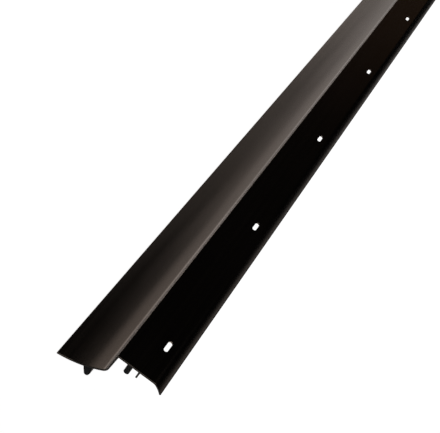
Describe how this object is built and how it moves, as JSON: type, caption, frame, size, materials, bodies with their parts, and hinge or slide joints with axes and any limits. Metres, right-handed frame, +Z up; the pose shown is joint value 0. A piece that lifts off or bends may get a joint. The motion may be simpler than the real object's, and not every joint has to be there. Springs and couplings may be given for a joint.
{
  "type": "door sweep",
  "caption": "Long bronze door sweep: slotted face flange with a curved lip, step wall and hollow apron, and soft strips pressed into grooves behind.",
  "frame": {"origin": "middle of the slot row, on the back face of the flange", "axes": "+X along the sweep, +Y from the flange into the door, +Z up the flange towards the lip"},
  "size_m": [0.9144, 0.038, 0.0778],
  "materials": {
    "bronze_finish": "dark bronze, satin",
    "soft_black": "soft, matte"
  },
  "bodies": {
    "root": {"carrier": "bronze_finish", "heel_seal": "soft_black", "apron_seal": "soft_black"}
  },
  "joints": []
}
